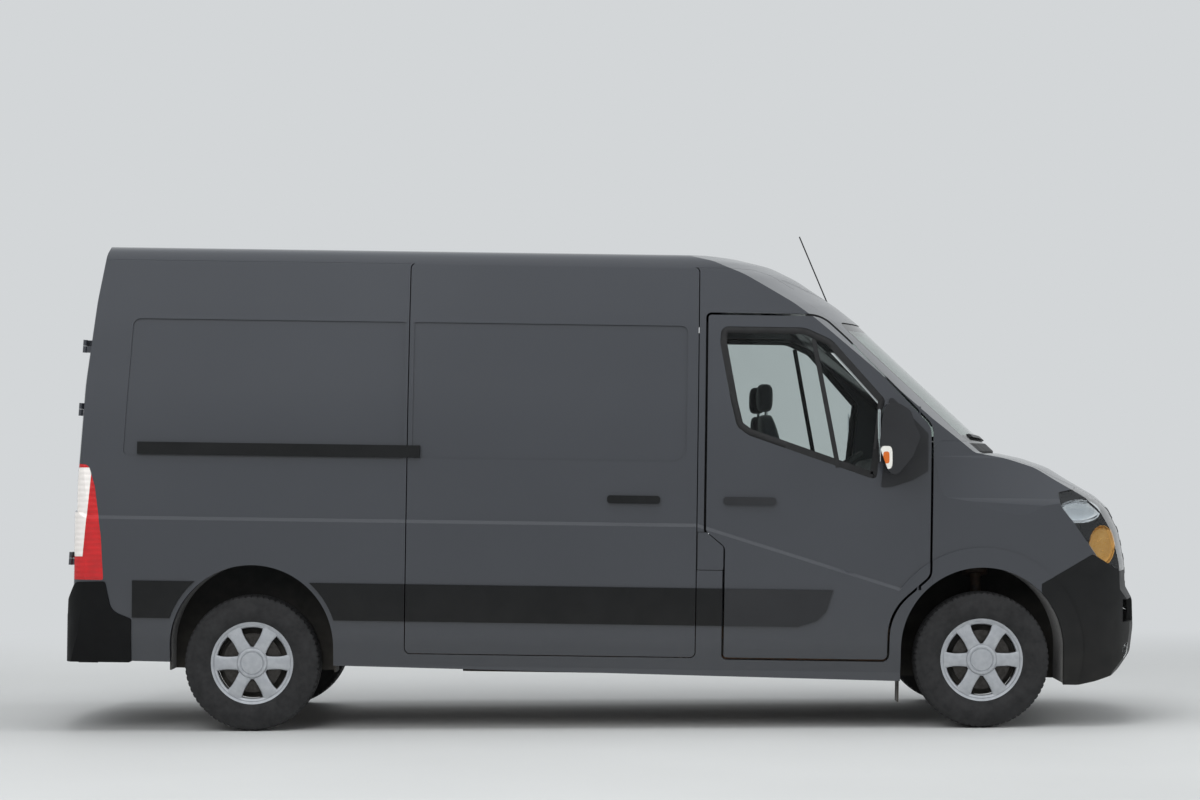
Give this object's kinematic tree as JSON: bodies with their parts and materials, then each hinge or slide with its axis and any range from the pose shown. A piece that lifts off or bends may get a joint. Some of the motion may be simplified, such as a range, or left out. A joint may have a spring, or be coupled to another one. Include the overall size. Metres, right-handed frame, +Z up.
{
  "type": "panel van",
  "caption": "Grey high-roof panel van with a front cab, a closed load space, a sliding side door and twin rear doors, on four road wheels.",
  "frame": {"origin": "middle of the whole van's outer box, on the ground under its tyres", "axes": "+X forwards along the van, +Y to its left, +Z up"},
  "size_m": [5.584, 2.47, 2.5434],
  "materials": {
    "paint": "gloss slate grey enamel",
    "plastic": "grained black plastic",
    "lamp_clear": "clear moulded lens",
    "lamp_red": "ribbed lens",
    "glass": "tinted",
    "underbody": "matt black coating",
    "liner": "rough black plastic",
    "engine": "as cast",
    "exhaust": "dull",
    "interior": "fine grained",
    "upholstery": "woven cloth",
    "cast_iron": "as cast",
    "alloy": "silver lacquer",
    "tyre": "matt"
  },
  "bodies": {
    "root": {"body_side_left": "paint", "body_side_right": "paint", "roof_panel": "paint", "front_wings": "paint", "front_bumper": "plastic", "front_grille": "plastic", "scuttle_panel": "plastic", "front_lamps": "lamp_clear", "tail_lamps": "lamp_red", "windscreen": "glass", "wipers": "plastic", "side_trim": "plastic", "sliding_door": "paint", "rear_bumper": "plastic", "rear_door_hinges": "paint", "floor_pan": "underbody", "underframe": "underbody", "bulkhead": "paint", "firewall": "underbody", "arch_liners": "liner", "engine_block": "engine", "fuel_tank": "plastic", "exhaust": "exhaust", "dashboard": "interior", "seat_bases": "interior", "seats": "upholstery", "rear_axle": "underbody", "aerial": "plastic"},
    "bonnet": {"bonnet": "paint"},
    "front_door_left": {"front_door_left": "paint", "front_door_glass_left": "glass", "front_door_trim_left": "plastic"},
    "front_door_right": {"front_door_right": "paint", "front_door_glass_right": "glass", "front_door_trim_right": "plastic"},
    "rear_door_left": {"rear_door_left": "paint"},
    "rear_door_right": {"rear_door_right": "paint"},
    "fuel_flap": {"fuel_flap": "paint"},
    "steering_wheel": {"steering_wheel": "interior"},
    "knuckle_left": {"knuckle_left": "cast_iron"},
    "knuckle_right": {"knuckle_right": "cast_iron"},
    "wheel_front_left": {"wheel_front_left": "alloy", "tyre_front_left": "tyre"},
    "wheel_front_right": {"wheel_front_right": "alloy", "tyre_front_right": "tyre"},
    "wheel_rear_left": {"wheel_rear_left": "alloy", "tyre_rear_left": "tyre"},
    "wheel_rear_right": {"wheel_rear_right": "alloy", "tyre_rear_right": "tyre"}
  },
  "joints": [
    {"name": "front_door_right_hinge", "type": "hinge", "parent": "root", "child": "front_door_right", "pos_m": [1.59862, -0.9945, 0.77175], "axis": [0.0188, 0.0334, 0.9993], "range_deg": [0, 70]},
    {"name": "rear_door_right_hinge", "type": "hinge", "parent": "root", "child": "rear_door_right", "pos_m": [-2.70152, -0.893, 0.59277], "axis": [0.0711, 0, 0.9975], "range_deg": [0, 180]},
    {"name": "front_door_left_hinge", "type": "hinge", "parent": "root", "child": "front_door_left", "pos_m": [1.59862, 0.9945, 0.77175], "axis": [0.0188, -0.0334, 0.9993], "range_deg": [-70, 0]},
    {"name": "rear_door_left_hinge", "type": "hinge", "parent": "root", "child": "rear_door_left", "pos_m": [-2.70152, 0.893, 0.59277], "axis": [0.0711, 0, 0.9975], "range_deg": [-180, 0]},
    {"name": "bonnet_hinge", "type": "hinge", "parent": "root", "child": "bonnet", "pos_m": [1.97084, 0, 1.36384], "axis": [0, -1, 0], "range_deg": [0, 50]},
    {"name": "fuel_flap_hinge", "type": "hinge", "parent": "root", "child": "fuel_flap", "pos_m": [0.49597, -1.007, 0.90006], "axis": [-0.0188, 0, -0.9998], "range_deg": [0, 90]},
    {"name": "steering_wheel_turn", "type": "hinge", "parent": "root", "child": "steering_wheel", "pos_m": [1.2571, 0.4797, 1.27328], "axis": [-0.558, 0, 0.8298], "range_deg": [-540, 540]},
    {"name": "steer_left", "type": "hinge", "parent": "root", "child": "knuckle_left", "pos_m": [1.92094, 0.792, 0.203], "axis": [0, -0.2146, 0.9767], "range_deg": [-35, 35]},
    {"name": "steer_right", "type": "hinge", "parent": "root", "child": "knuckle_right", "pos_m": [1.92094, -0.792, 0.203], "axis": [0, 0.2146, 0.9767], "range_deg": [-35, 35]},
    {"name": "wheel_front_left_spin", "type": "hinge", "parent": "knuckle_left", "child": "wheel_front_left", "pos_m": [1.92094, 0.875, 0.343], "axis": [0, 1, 0], "continuous": true},
    {"name": "wheel_rear_left_spin", "type": "hinge", "parent": "root", "child": "wheel_rear_left", "pos_m": [-1.76106, 0.865, 0.343], "axis": [0, 1, 0], "continuous": true},
    {"name": "wheel_front_right_spin", "type": "hinge", "parent": "knuckle_right", "child": "wheel_front_right", "pos_m": [1.92094, -0.875, 0.343], "axis": [0, 1, 0], "continuous": true},
    {"name": "wheel_rear_right_spin", "type": "hinge", "parent": "root", "child": "wheel_rear_right", "pos_m": [-1.76106, -0.865, 0.343], "axis": [0, 1, 0], "continuous": true}
  ],
  "couplings": [
    {"joint": "steer_right", "follows": "steer_left", "ratio": 1},
    {"joint": "steering_wheel_turn", "follows": "steer_left", "ratio": 15.274}
  ]
}
